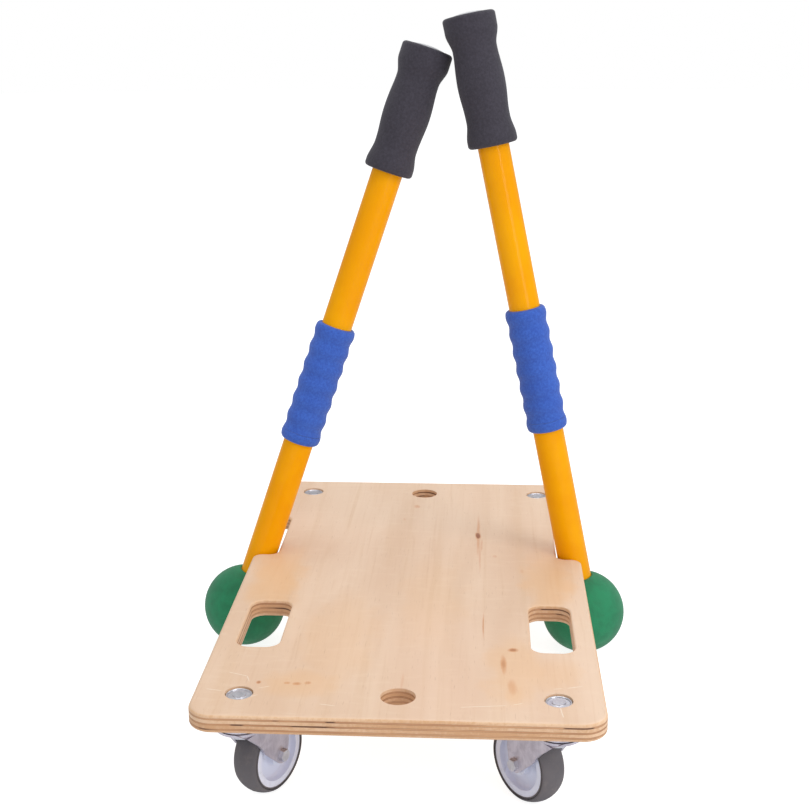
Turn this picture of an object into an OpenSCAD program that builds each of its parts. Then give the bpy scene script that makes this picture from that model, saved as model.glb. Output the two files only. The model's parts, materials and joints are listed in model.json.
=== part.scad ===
// Roller board on four swivel casters, with two push paddles standing in its side notches.
// Millimetres. Origin on the floor under the middle of the deck, +X right, +Y to the far end, +Z up.

/* [Deck] */
// Length of the deck, near end to far end
deck_l = 600; // [480:1:720]
// Width of the deck
deck_w = 350; // [300:1:420]
// Thickness of the plywood
deck_t = 17; // [12:0.5:19]
// Plan radius of the four corners
corner_r = 22; // [10:1:35]
// Round-over of the deck's outer edges
edge_r = 3; // [1:0.25:5]

/* [Side notches] */
// Depth of each side notch
notch_d = 25.2; // [18:0.5:30]
// Length of each side notch
notch_l = 116; // [80:1:140]
// Middle of the notches, from the middle of the deck
notch_y = 114; // [90:1:125]
// Radius of the notches' inner and outer corners
notch_r = 10; // [5:0.5:12]

/* [Hand slots] */
// Length of each hand slot
slot_l = 103; // [80:1:120]
// Width of each hand slot
slot_w = 40; // [25:1:48]
// Wood left between a slot and the deck's side
slot_wall = 19.5; // [14:0.5:30]
// Middle of the slots, from the middle of the deck towards the near end
slot_y = 118; // [100:1:130]
// Corner radius of the slots
slot_r = 13; // [6:0.5:15]
// Round-over of the slots' edges
slot_edge_r = 2; // [0.5:0.25:3]

/* [Centre holes] */
// Diameter of the two centre holes
hole_d = 30; // [16:0.5:40]
// Distance of the centre holes from the deck's ends
hole_inset = 40.5; // [32:0.5:60]
// Round-over of the centre holes' rims
hole_edge_r = 0.5; // [0.25:0.25:1.5]

/* [Caster bolts] */
// Distance of a caster bolt from the deck's side
bolt_inset_x = 39.5; // [34:0.5:50]
// Distance of a caster bolt from the deck's end
bolt_inset_y = 40; // [34:0.5:50]
// Diameter of the pocket that holds the bolt head
pocket_d = 24.4; // [20:0.1:28]
// Depth of the bolt head's pocket
pocket_depth = 4.2; // [3:0.1:6]
// Thread diameter of the caster bolt
bolt_d = 10; // [8:0.5:10]
// Radial gap between a bolt head and its pocket
pocket_gap = 0.5; // [0.2:0.1:1]
// Thickness of the lock nut under the swivel
lock_nut_t = 6; // [4:0.5:7]
// Width of the lock nut across flats
lock_nut_af = 17; // [15:0.5:18]

/* [Casters] */
// Wheel diameter
wheel_d = 75; // [62:0.5:90]
// Gap between the wheel and the fork's crown above it
wheel_clear = 3.5; // [2:0.5:8]
// Height of the swivel bearing between the fork's crown and the deck
swivel_h = 11.8; // [11:0.1:15]
// Tyre width
tyre_w = 24.5; // [20:0.5:26]
// Radius of the tread's crown across the wheel
crown_r = 22; // [18:0.5:30]
// Thickness of the tyre at the middle of its tread
tyre_t = 7.1; // [5:0.1:9]
// Distance from the swivel axis to the axle
trail = 37; // [34:0.5:44]
// Thickness of the fork's pressed steel
fork_t = 2.2; // [1.5:0.1:2.6]
// Gap between the tyre's side and the fork leg
leg_gap = 1.25; // [0.8:0.05:2]
// Side gap between the wheel's hub and a fork leg
hub_gap = 0.5; // [0.2:0.05:0.8]
// Radial running clearance of the wheel on its axle tube
axle_gap = 0.06; // [0.02:0.01:0.1]
// Axle bolt diameter
axle_d = 6; // [5:0.5:8]
// Width of the axle bolt's head and nut across flats
axle_af = 10; // [9:0.5:13]
// Outer diameter of the axle tube
axle_tube_d = 12; // [10:0.5:14]
// Diameter of the swivel's king pin
king_d = 14; // [13:0.5:16]
// Radial running clearance of the swivel on its king pin
swivel_gap = 0.08; // [0.02:0.01:0.1]
// Ball diameter of the swivel bearing
race_ball_d = 4.8; // [4:0.1:5]
// Pitch diameter of the swivel bearing
race_d = 28; // [27:0.5:30]
// Clearance between the bearing balls and their races
race_gap = 0.06; // [0.02:0.01:0.1]
// Number of bearing balls
race_n = 14; // [10:1:15]
// Outer diameter of the swivel head
head_d = 44; // [42:0.5:48]
// Swivel angle of the near left caster, from +X
swing_fl = 61; // [0:1:360]
// Swivel angle of the near right caster, from +X
swing_fr = 129; // [0:1:360]
// Swivel angle of the far left caster, from +X
swing_rl = 285; // [0:1:360]
// Swivel angle of the far right caster, from +X
swing_rr = 248; // [0:1:360]

/* [Paddles] */
// Ball diameter
ball_d = 88; // [80:0.5:88]
// Tube diameter
tube_d = 32; // [26:0.5:34]
// Tube wall
tube_t = 2; // [1.5:0.1:3]
// Length of the tube from its lower end to its upper end
tube_l = 640; // [560:1:760]
// How far the left tube's lower end sits below the ball's middle
seat_left = 16; // [4:0.5:24]
// How far the right tube's lower end sits below the ball's middle
seat_right = 4; // [2:0.5:24]
// Gap left between a tube and the notch it stands in
lean_gap = 0.5; // [0.3:0.1:2]
// Fore-and-aft tilt of the left paddle
tilt_left = 3.8; // [-4:0.1:4]
// Fore-and-aft tilt of the right paddle
tilt_right = 2.1; // [-4:0.1:4]
// Where the two upper grips meet, right of the middle
meet_x = 35; // [0:1:40]
// Gap between the two upper grips where they meet
meet_gap = 4.3; // [1:0.1:6]
// Length of the upper grip
upper_l = 129.5; // [110:1:150]
// Foam thickness at the waist of the upper grip
upper_t = 6.2; // [4:0.1:8]
// Swelling of the upper grip's radius at its middle
upper_belly = 2.0; // [0.5:0.1:3]
// Flare of the upper grip's radius at its lower end
flare_low = 3.0; // [1:0.1:4]
// Flare of the upper grip's radius at its upper end
flare_top = 4.2; // [1:0.1:5]
// Length of the lower grip
lower_l = 131; // [100:0.5:160]
// Mean foam thickness of the lower grip
lower_t = 4.4; // [3:0.1:7]
// Half height of the lower grip's ribs
rib_h = 0.75; // [0.3:0.05:1.5]
// Number of ribs on the lower grip, end to end
rib_n = 7; // [4:1:10]
// Distance from the top of the lower grip to the bottom of the upper grip
grip_space = 168.5; // [120:1:220]
// Rise of the end cap above the upper grip
cap_rise = 2.4; // [1:0.1:4]

/* [Hidden] */
$fn = 96;
eps = 0.5;
wheel_r = wheel_d / 2;
crown_bot = wheel_d + wheel_clear;
crown_top = crown_bot + fork_t;
caster_h = crown_top + swivel_h;
deck_top = caster_h + deck_t;
bolt_x = deck_w / 2 - bolt_inset_x;
bolt_y = deck_l / 2 - bolt_inset_y;
hole_y = deck_l / 2 - hole_inset;
waist_x = deck_w / 2 - notch_d;
notch_y0 = notch_y - notch_l / 2;
notch_y1 = notch_y + notch_l / 2;
slot_x = deck_w / 2 - slot_wall - slot_w / 2;
// caster heights and widths
rim_r = wheel_r - tyre_t;
head_t = 2.5;
fork_in = tyre_w / 2 + leg_gap;
fork_out = fork_in + fork_t;
hub_half = fork_in - hub_gap;
bend_r = 3;
flange_top = crown_bot - 0.3;
flange_bot = flange_top - 2.5;
flange_r = king_d / 2 + 3.5;
race_r = race_d / 2;
race_z = crown_top + 4;
race_out = race_r + 3.8;
race_in = race_r - 3.8;
skirt_out = head_d / 2;
skirt_in = skirt_out - 2.2;
leg_end_r = 8;
// paddle lengths, measured up the tube from the ball's middle
ball_r = ball_d / 2;
tube_r = tube_d / 2;
function tube_top(seat) = tube_l - seat;
function upper_0(seat) = tube_top(seat) - upper_l + 1;
function lower_0(seat) = upper_0(seat) - grip_space - lower_l;
waist_r = tube_r + upper_t;
flare_r = waist_r + flare_top;
// lean of a paddle whose tube rests in the notch and whose axis is x out from the middle at meet_z
function lean(x, a = 15, n = 12) =
    n == 0 ? a : lean(x, atan((foot_x(a) - x) / (meet_z - deck_top)), n - 1);
function foot_x(a) = waist_x + lean_gap + tube_r / cos(a);
// the lower grip's top corner meets the other grip's side; crossing is the angle between the paddles
meet_z = ball_r + 0.945 * (min(tube_top(seat_left), tube_top(seat_right)) - 5);
meet_y = (meet_z - caster_h) * (tan(tilt_left) - tan(tilt_right)) * 1.04;
crossing = 30.6;
meet_reach = (flare_r * cos(crossing) + waist_r + upper_belly + meet_gap) / cos(crossing / 2.5);
meet_span = sqrt(meet_reach * meet_reach - meet_y * meet_y);
meet_part = flare_r / (flare_r + waist_r);
lean_r = lean(meet_x + meet_span * (1 - meet_part));
lean_l = lean(meet_span * meet_part - meet_x);
function ball_x(a) = foot_x(a) + (deck_top - ball_r) * tan(a);
// a tube that tilts to the far end is nearest the notch's wall at the deck's underside
function rest_z(tilt) = tilt > 0 ? caster_h : deck_top;
function ball_y(tilt, a) =
    notch_y0 + lean_gap + tube_r / cos(tilt) - (rest_z(tilt) - ball_r) * tan(tilt) / cos(a);

CASTERS = [
    ["front_left", -1, -1, swing_fl, -1],
    ["front_right", 1, -1, swing_fr, 1],
    ["rear_left", -1, 1, swing_rl, 1],
    ["rear_right", 1, 1, swing_rr, -1]
];

// ---- outlines with right-angled corners, each with its own radius ----
function unit(v) = v / norm(v);
function seg(P, i) = unit(P[(i + 1) % len(P)] - P[i]);
function back(P, i) = unit(P[i] - P[(i + len(P) - 1) % len(P)]);
function cross2(a, b) = a.x * b.y - a.y * b.x;
function turn(P, i) = sign(cross2(back(P, i), seg(P, i)));
function t_in(P, R, i) = P[i] - back(P, i) * R[i];
function t_out(P, R, i) = P[i] + seg(P, i) * R[i];
function mid(P, R, i) = t_in(P, R, i) + R[i] * turn(P, i) * [-back(P, i).y, back(P, i).x];
function heading(v) = atan2(v.y, v.x);

// the area inside a path; full is +1 for an anticlockwise path and -1 for a clockwise one
module outline(P, R, full) {
    difference() {
        union() {
            polygon([for (i = [0 : len(P) - 1], k = [0, 1]) k == 0 ? t_in(P, R, i) : t_out(P, R, i)]);
            for (i = [0 : len(P) - 1])
                if (turn(P, i) == full) translate(mid(P, R, i)) circle(r = R[i]);
        }
        for (i = [0 : len(P) - 1])
            if (turn(P, i) == -full) translate(mid(P, R, i)) circle(r = R[i]);
    }
}

// sweeps a profile along a path; the profile's +x points to the right of travel, and its +y is up
module sweep(P, R) {
    n = len(P);
    for (i = [0 : n - 1]) {
        a = t_out(P, R, i);
        b = t_in(P, R, (i + 1) % n);
        translate([a.x, a.y, 0])
            rotate([0, 0, heading(b - a)])
                rotate([90, 0, 90])
                    linear_extrude(norm(b - a)) mirror([1, 0, 0]) children();
        c = mid(P, R, i);
        s = turn(P, i);
        start = heading((s > 0 ? t_in(P, R, i) : t_out(P, R, i)) - c);
        translate([c.x, c.y, 0])
            rotate([0, 0, start])
                rotate_extrude(angle = 90) translate([R[i], 0]) mirror([s > 0 ? 0 : 1, 0, 0]) children();
    }
}

// what a round-over takes off the top and bottom edges of a board's wall
module edge_cut(r) {
    difference() {
        translate([-r, caster_h + deck_t - r]) square([r + eps, r + eps]);
        translate([-r, caster_h + deck_t - r]) circle(r = r);
    }
    difference() {
        translate([-r, caster_h - eps]) square([r + eps, r + eps]);
        translate([-r, caster_h + r]) circle(r = r);
    }
}

DECK_P = let (a = deck_w / 2, b = deck_l / 2)
    [[a, -b], [a, notch_y0], [waist_x, notch_y0], [waist_x, notch_y1], [a, notch_y1], [a, b],
     [-a, b], [-a, notch_y1], [-waist_x, notch_y1], [-waist_x, notch_y0], [-a, notch_y0], [-a, -b]];
DECK_R = [corner_r, notch_r, notch_r, notch_r, notch_r, corner_r,
          corner_r, notch_r, notch_r, notch_r, notch_r, corner_r];
function slot_p(x) = let (u = slot_w / 2, v = slot_l / 2)
    [[x - u, -slot_y - v], [x - u, -slot_y + v], [x + u, -slot_y + v], [x + u, -slot_y - v]];
SLOT_R = [slot_r, slot_r, slot_r, slot_r];

module deck() {
    color("burlywood") difference() {
        translate([0, 0, caster_h]) linear_extrude(deck_t) outline(DECK_P, DECK_R, 1);
        sweep(DECK_P, DECK_R) edge_cut(edge_r);
        for (s = [-1, 1]) {
            translate([0, 0, caster_h - 1]) linear_extrude(deck_t + 2) outline(slot_p(s * slot_x), SLOT_R, -1);
            sweep(slot_p(s * slot_x), SLOT_R) edge_cut(slot_edge_r);
            translate([0, s * hole_y, caster_h - 1]) cylinder(d = hole_d, h = deck_t + 2);
            translate([0, s * hole_y, 0])
                rotate_extrude() translate([hole_d / 2, 0]) mirror([1, 0, 0]) edge_cut(hole_edge_r);
            for (t = [-1, 1]) translate([s * bolt_x, t * bolt_y, 0]) {
                translate([0, 0, deck_top - pocket_depth]) cylinder(d = pocket_d, h = pocket_depth + 1);
                translate([0, 0, caster_h - 1]) cylinder(d = bolt_d + 0.4, h = deck_t);
            }
        }
    }
}

// ---- caster fixings on the deck ----
bolt_seat = deck_top - pocket_depth;
bolt_head_r = pocket_d / 2 - pocket_gap;
bolt_foot = flange_bot - lock_nut_t - 1.5;

module deck_bolt() {
    rotate_extrude() {
        translate([0, bolt_foot + 1]) square([bolt_d / 2, bolt_seat - bolt_foot]);
        translate([0, bolt_foot]) square([bolt_d / 2 - 1, 2]);
        translate([0, bolt_seat]) square([bolt_head_r, 1.8]);
        translate([bolt_head_r - 1, bolt_seat + 1.8]) circle(r = 1);
        difference() {
            translate([0, bolt_seat + 1.8]) square([6.2, 0.9]);
            translate([6.2, bolt_seat + 2.7]) circle(r = 0.9);
        }
    }
}

module hex_ring(af, hole, h) {
    difference() {
        cylinder(r = af / 2 / cos(30), h = h, $fn = 6);
        translate([0, 0, -1]) cylinder(d = hole, h = h + 2);
    }
}

module at_bolts() {
    for (s = [-1, 1], t = [-1, 1]) translate([s * bolt_x, t * bolt_y, 0]) children();
}

module deck_bolts() { color("silver") at_bolts() deck_bolt(); }
module lock_nuts() {
    color("gray") at_bolts() translate([0, 0, flange_bot - lock_nut_t]) hex_ring(lock_nut_af, bolt_d, lock_nut_t);
}

// ---- one caster, swivel axis at x = y = 0, trailing along +x ----
module swivel_head() {
    z = caster_h - head_t;
    rotate_extrude() {
        translate([king_d / 2, z]) square([skirt_out - 1.5 - king_d / 2, head_t]);
        translate([skirt_out - 1.5, z]) square([1.5, head_t - 1.5]);
        translate([skirt_out - 1.5, caster_h - 1.5]) circle(r = 1.5);
        translate([skirt_in, crown_top + 1.6]) square([skirt_out - skirt_in, z - crown_top - 1.4]);
        difference() {
            translate([race_in, race_z + 1.8]) square([race_out - race_in, z - race_z - 1.6]);
            translate([race_r, race_z]) circle(r = race_ball_d / 2 + race_gap);
        }
    }
}

module king_pin() {
    rotate_extrude() {
        translate([bolt_d / 2, flange_bot]) square([king_d / 2 - bolt_d / 2, caster_h - flange_bot]);
        translate([bolt_d / 2, flange_bot]) square([flange_r - 1 - bolt_d / 2, flange_top - flange_bot]);
        translate([bolt_d / 2, flange_bot + 1]) square([flange_r - bolt_d / 2, flange_top - flange_bot - 1]);
        translate([flange_r - 1, flange_bot + 1]) circle(r = 1);
    }
}

module leg_shape() {
    h = crown_top - wheel_r;
    r = leg_end_r;
    intersection() {
        union() {
            translate([trail, wheel_r]) circle(r = r);
            polygon([[3 - skirt_out, crown_top], [-0.2 * trail, wheel_r + 0.8 * h],
                     [0.14 * trail, wheel_r + 0.53 * h], [0.39 * trail, wheel_r + 0.24 * h],
                     [trail - 0.7 * r, wheel_r - 0.71 * r], [trail + 0.99 * r, wheel_r - 0.15 * r],
                     [trail + 10.2, wheel_r + 0.3 * h], [trail + 10.5, wheel_r + 0.59 * h],
                     [trail + 5, wheel_r + 0.8 * h], [skirt_out - 5, crown_top]]);
        }
        translate([-skirt_out - 20, 0]) square([2 * skirt_out + trail + 60, crown_top]);
    }
}

module u_shape() {
    difference() {
        union() {
            translate([-fork_out, 0]) square([2 * fork_out, crown_top - bend_r - fork_t]);
            translate([-fork_out + bend_r + fork_t, 0]) square([2 * (fork_out - bend_r - fork_t), crown_top]);
            for (s = [-1, 1])
                translate([s * (fork_out - bend_r - fork_t), crown_top - bend_r - fork_t]) circle(r = bend_r + fork_t);
        }
        translate([-fork_in, -1]) square([2 * fork_in, crown_bot - bend_r + 1]);
        translate([-fork_in + bend_r, -1]) square([2 * (fork_in - bend_r), crown_bot + 1]);
        for (s = [-1, 1]) translate([s * (fork_in - bend_r), crown_bot - bend_r]) circle(r = bend_r);
    }
}

module fork() {
    shoulder_x = 12;
    shoulder_t = 1.4;
    shoulder_0 = wheel_r + 14.5;
    shoulder_h = crown_top - bend_r - fork_t - shoulder_0;
    difference() {
        union() {
            intersection() {
                translate([-30, 0, 0]) rotate([90, 0, 90]) linear_extrude(trail + 70) u_shape();
                translate([0, fork_out + 1, 0]) rotate([90, 0, 0]) linear_extrude(2 * fork_out + 2) leg_shape();
            }
            translate([0, 0, crown_bot]) cylinder(d = head_d - 1, h = fork_t);
            // raised race for the bearing balls
            rotate_extrude() difference() {
                translate([race_in, crown_bot]) square([race_out - race_in, race_z - crown_bot - 1.8]);
                translate([race_r, race_z]) circle(r = race_ball_d / 2 + race_gap);
            }
            // pressed shoulder on the front half of each leg
            for (s = [-1, 1]) {
                intersection() {
                    translate([0, s * (fork_out - 0.4) + (s > 0 ? shoulder_t + 0.4 : 0), 0])
                        rotate([90, 0, 0]) linear_extrude(shoulder_t + 0.4) leg_shape();
                    translate([-30, -40, wheel_r - 7.5]) cube([30 + shoulder_x, 80, shoulder_h + 22]);
                }
                translate([shoulder_x, s * fork_out, shoulder_0]) cylinder(r = shoulder_t, h = shoulder_h);
            }
        }
        translate([0, 0, crown_bot - 20]) cylinder(d = king_d + 2 * swivel_gap, h = 60);
        translate([trail, 40, wheel_r]) rotate([90, 0, 0]) cylinder(d = axle_d, h = 80);
    }
}

module bearing_balls() {
    translate([0, 0, race_z]) {
        for (i = [0 : race_n - 1])
            rotate([0, 0, i * 360 / race_n]) translate([race_r, 0, 0]) sphere(d = race_ball_d, $fn = 24);
        rotate_extrude() translate([race_r - 1, -0.4]) square([2, 0.8]);
    }
}

// side is the leg that carries the bolt's head
module axle_bolt(side) {
    translate([trail, 0, wheel_r]) rotate([side > 0 ? -90 : 90, 0, 0]) {
        difference() {
            translate([0, 0, fork_out]) cylinder(r = axle_af / 2 / cos(30), h = 4, $fn = 6);
            translate([0, 0, fork_out + 4]) difference() {
                translate([0, 0, -1]) cylinder(r = axle_af, h = 2);
                translate([0, 0, -7.4]) sphere(r = 9);
            }
        }
        translate([0, 0, -fork_out - 7]) cylinder(d = axle_d, h = 2 * fork_out + 8);
    }
}

module axle_nut(side) {
    translate([trail, 0, wheel_r]) rotate([side > 0 ? 90 : -90, 0, 0])
        translate([0, 0, fork_out]) hex_ring(axle_af, axle_d, 5);
}

module axle_tube() {
    translate([trail, fork_in, wheel_r]) rotate([90, 0, 0]) difference() {
        cylinder(d = axle_tube_d, h = 2 * fork_in);
        translate([0, 0, -1]) cylinder(d = axle_d, h = 2 * fork_in + 2);
    }
}

module wheel_centre() {
    half = tyre_w / 2 - 0.5;
    bore = axle_tube_d / 2 + axle_gap;
    web = 4.2;
    dish_in = bore + 4.6;
    dish_out = rim_r - 5.6;
    f = 3.6;
    translate([trail, 0, wheel_r]) rotate([90, 0, 0]) rotate_extrude() {
        difference() {
            translate([bore, -half]) square([rim_r - bore, 2 * half]);
            for (s = [-1, 1]) {
                for (x = [dish_in + f, dish_out - f]) translate([x, s * (web + f)]) circle(r = f);
                translate([dish_in + f, s > 0 ? web : -half - 1]) square([dish_out - dish_in - 2 * f, half - web + 1]);
                translate([dish_in, s > 0 ? web + f : -half - 1]) square([dish_out - dish_in, half - web - f + 1]);
            }
        }
        translate([bore, -hub_half]) square([4.6, 2 * hub_half]);
        // rib that keys the tyre
        translate([rim_r - 0.5, -4]) square([2.3, 8]);
    }
}

module tyre() {
    translate([trail, 0, wheel_r]) rotate([90, 0, 0]) rotate_extrude() difference() {
        intersection() {
            translate([rim_r, -tyre_w / 2]) square([wheel_r - rim_r + 1, tyre_w]);
            translate([wheel_r - crown_r, 0]) circle(r = crown_r);
        }
        translate([rim_r - 1, -4]) square([2.8, 8]);
    }
}

module at(c) {
    translate([c[1] * bolt_x, c[2] * bolt_y, 0]) rotate([0, 0, c[3]]) children();
}

// ---- paddles: local z runs up the tube, z = 0 at the ball's middle ----
module paddle(side) {
    a = side > 0 ? lean_r : lean_l;
    t = side > 0 ? tilt_right : tilt_left;
    translate([side * ball_x(a), ball_y(t, a), ball_r])
        rotate([0, -side * a, 0]) rotate([-t, 0, 0]) children();
}

plug_t = 3;
module ball(seat) {
    color("seagreen") difference() {
        sphere(r = ball_r);
        translate([0, 0, -seat - plug_t]) cylinder(r = tube_r, h = ball_d);
    }
}

module ball_plug(seat) {
    color("dimgray") translate([0, 0, -seat]) {
        translate([0, 0, -plug_t]) cylinder(r = tube_r, h = plug_t);
        cylinder(r = tube_r - tube_t, h = 45);
    }
}

module tube(seat) {
    color("orange") translate([0, 0, -seat]) difference() {
        cylinder(r = tube_r, h = tube_l);
        translate([0, 0, -1]) cylinder(r = tube_r - tube_t, h = tube_l + 2);
    }
}

function clamp01(x) = min(1, max(0, x));
function ease(x) = let (u = clamp01(x)) u * u * (3 - 2 * u);
function round_end(d, r) = d >= r ? 0 : r - sqrt(r * r - (r - d) * (r - d));
function upper_r(t) = waist_r
    + upper_belly * pow(sin(180 * clamp01((t - 0.21 * upper_l) / (0.54 * upper_l))), 2)
    + flare_low * (1 - ease((t - 7) / 19))
    + flare_top * ease((t - upper_l + 33) / 18)
    - round_end(t, 3.5) - round_end(upper_l - t, 3.5);
function lower_r(t) = tube_r + lower_t
    + rib_h * cos(360 * (t - 7.5) / ((lower_l - 15) / (rib_n - 1)))
    - round_end(t, 3) - round_end(lower_l - t, 3);
UPPER_T = concat([0, 0.5, 1.5, 2.5], [for (i = [2 : 50]) i * upper_l / 52],
    [upper_l - 2.4, upper_l - 1.4, upper_l - 0.5, upper_l]);
LOWER_T = concat([0, 0.5, 1.4], [for (i = [1 : 59]) i * lower_l / 60], [lower_l - 1.2, lower_l - 0.5, lower_l]);

module upper_grip(seat) {
    color("dimgray") translate([0, 0, upper_0(seat)]) rotate_extrude()
        polygon(concat([[tube_r, 0]], [for (t = UPPER_T) [upper_r(t), t]], [[tube_r, upper_l]]));
}

module lower_grip(seat) {
    color("royalblue") translate([0, 0, lower_0(seat)]) rotate_extrude()
        polygon(concat([[tube_r, 0]], [for (t = LOWER_T) [lower_r(t), t]], [[tube_r, lower_l]]));
}

module end_cap(seat) {
    dome_h = cap_rise - 0.6;
    dome_b = tube_r - 0.4;
    dome_r = (dome_b * dome_b + dome_h * dome_h) / (2 * dome_h);
    color("lightgray") translate([0, 0, tube_top(seat)]) rotate_extrude() {
        translate([tube_r - tube_t - 1.8, -16]) square([1.8, 17]);
        square([tube_r, 1.6]);
        intersection() {
            translate([0, 1.6]) square([dome_b, dome_h]);
            translate([0, 1.6 + dome_h - dome_r]) circle(r = dome_r, $fn = 360);
        }
    }
}

module caster_part(what, c) {
    if (what == "swivel_head") color("slategray") at(c) swivel_head();
    if (what == "king_pin") color("silver") at(c) king_pin();
    if (what == "fork") color("lightslategray") at(c) fork();
    if (what == "bearing_balls") color("silver") at(c) bearing_balls();
    if (what == "axle_bolt") color("silver") at(c) axle_bolt(c[4]);
    if (what == "axle_nut") color("silver") at(c) axle_nut(c[4]);
    if (what == "axle_tube") color("gray") at(c) axle_tube();
    if (what == "wheel_centre") color("white") at(c) wheel_centre();
    if (what == "tyre") color("darkslategray") at(c) tyre();
}

deck();
deck_bolts();
lock_nuts();
for (c = CASTERS)
    for (what = ["swivel_head", "king_pin", "fork", "bearing_balls", "axle_bolt", "axle_nut", "axle_tube",
                 "wheel_centre", "tyre"])
        caster_part(what, c);
paddle(-1) ball(seat_left);  // ball_left
paddle(-1) ball_plug(seat_left);  // ball_plug_left
paddle(-1) tube(seat_left);  // tube_left
paddle(-1) lower_grip(seat_left);  // lower_grip_left
paddle(-1) upper_grip(seat_left);  // upper_grip_left
paddle(-1) end_cap(seat_left);  // end_cap_left
paddle(1) ball(seat_right);  // ball_right
paddle(1) ball_plug(seat_right);  // ball_plug_right
paddle(1) tube(seat_right);  // tube_right
paddle(1) lower_grip(seat_right);  // lower_grip_right
paddle(1) upper_grip(seat_right);  // upper_grip_right
paddle(1) end_cap(seat_right);  // end_cap_right
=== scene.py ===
import functools
import json
import math

import bmesh
import bpy
from mathutils import Matrix, Vector, noise

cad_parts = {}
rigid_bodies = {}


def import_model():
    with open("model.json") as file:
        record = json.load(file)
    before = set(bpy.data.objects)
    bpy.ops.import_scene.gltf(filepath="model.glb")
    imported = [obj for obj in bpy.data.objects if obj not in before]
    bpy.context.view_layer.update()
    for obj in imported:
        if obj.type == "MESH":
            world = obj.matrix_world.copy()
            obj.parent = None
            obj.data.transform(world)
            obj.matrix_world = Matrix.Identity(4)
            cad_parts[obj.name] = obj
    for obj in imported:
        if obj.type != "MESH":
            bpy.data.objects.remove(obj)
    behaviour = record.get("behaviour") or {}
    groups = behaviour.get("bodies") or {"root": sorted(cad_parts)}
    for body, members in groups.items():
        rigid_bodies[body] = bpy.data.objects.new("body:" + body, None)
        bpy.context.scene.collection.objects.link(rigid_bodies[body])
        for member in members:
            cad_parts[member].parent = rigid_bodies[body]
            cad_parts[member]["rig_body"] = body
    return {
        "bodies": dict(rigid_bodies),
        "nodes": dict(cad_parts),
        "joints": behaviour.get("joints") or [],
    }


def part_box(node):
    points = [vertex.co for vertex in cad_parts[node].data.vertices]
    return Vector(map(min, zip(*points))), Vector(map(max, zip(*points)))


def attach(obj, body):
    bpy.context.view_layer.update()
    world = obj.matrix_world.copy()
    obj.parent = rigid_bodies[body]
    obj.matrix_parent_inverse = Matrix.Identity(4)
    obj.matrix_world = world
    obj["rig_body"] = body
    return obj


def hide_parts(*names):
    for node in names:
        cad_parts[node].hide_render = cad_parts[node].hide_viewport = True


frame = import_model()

MM = 0.001
SIDES = ("left", "right")
CORNERS = ("front_left", "front_right", "rear_left", "rear_right")


def clear_start_scene():
    """Leaves only the frame in the scene."""
    kept = set(frame["nodes"].values()) | set(frame["bodies"].values())
    for extra in [o for o in bpy.data.objects if o not in kept]:
        bpy.data.objects.remove(extra)


clear_start_scene()
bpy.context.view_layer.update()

DECK_LOW, DECK_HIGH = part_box("deck")
DECK_TOP = DECK_HIGH.z
DECK_T = DECK_HIGH.z - DECK_LOW.z


# ---------------------------------------------------------------- node trees

class Value:
    """One socket of a node tree, which takes part in arithmetic."""

    def __init__(self, tree, socket):
        self.tree = tree
        self.socket = socket

    def maths(self, operation, *others, **settings):
        inputs = dict(enumerate((self,) + others))
        return self.tree.node("ShaderNodeMath", inputs, operation=operation, **settings)

    def __add__(self, other):
        return self.maths("ADD", other)

    def __sub__(self, other):
        return self.maths("SUBTRACT", other)

    def __mul__(self, other):
        return self.maths("MULTIPLY", other)

    def __truediv__(self, other):
        return self.maths("DIVIDE", other)

    def __rsub__(self, other):
        return self.tree.node("ShaderNodeMath", {0: other, 1: self}, operation="SUBTRACT")

    __radd__ = __add__
    __rmul__ = __mul__

    def floor(self):
        return self.maths("FLOOR")

    def size(self):
        return self.maths("ABSOLUTE")

    def cosine(self):
        return self.maths("COSINE")

    def sine(self):
        return self.maths("SINE")

    def root(self):
        return self.maths("SQRT")

    def least(self, other):
        return self.maths("MINIMUM", other)

    def most(self, other):
        return self.maths("MAXIMUM", other)

    def clamped(self):
        return self.maths("ADD", 0.0, use_clamp=True)

    def step(self, low, high):
        """0 below low and 1 above high, smooth between them; low may be the larger."""
        inputs = {"Value": self, "From Min": low, "From Max": high}
        return self.tree.node("ShaderNodeMapRange", inputs, interpolation_type="SMOOTHSTEP")


def strongest(values):
    return functools.reduce(Value.most, values)


class Tree:
    """A node tree, built node by node."""

    def __init__(self, graph):
        self.graph = graph

    def node(self, kind, inputs=None, out=0, **settings):
        """Adds a node: its settings first, then the values or links of its sockets.

        A list links each of its values to the one socket."""
        made = self.graph.nodes.new(kind)
        for key, value in settings.items():
            setattr(made, key, value)
        for key, value in (inputs or {}).items():
            for one in value if isinstance(value, list) else [value]:
                if isinstance(one, Value):
                    self.graph.links.new(one.socket, made.inputs[key])
                else:
                    made.inputs[key].default_value = one
        return Value(self, made.outputs[out]) if made.outputs else None

    def parts(self, vector):
        """The x, y and z of a vector."""
        split = self.node("ShaderNodeSeparateXYZ", {0: vector}).socket.node
        return [Value(self, socket) for socket in split.outputs]

    def joined(self, x, y, z):
        return self.node("ShaderNodeCombineXYZ", {0: x, 1: y, 2: z})


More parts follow.
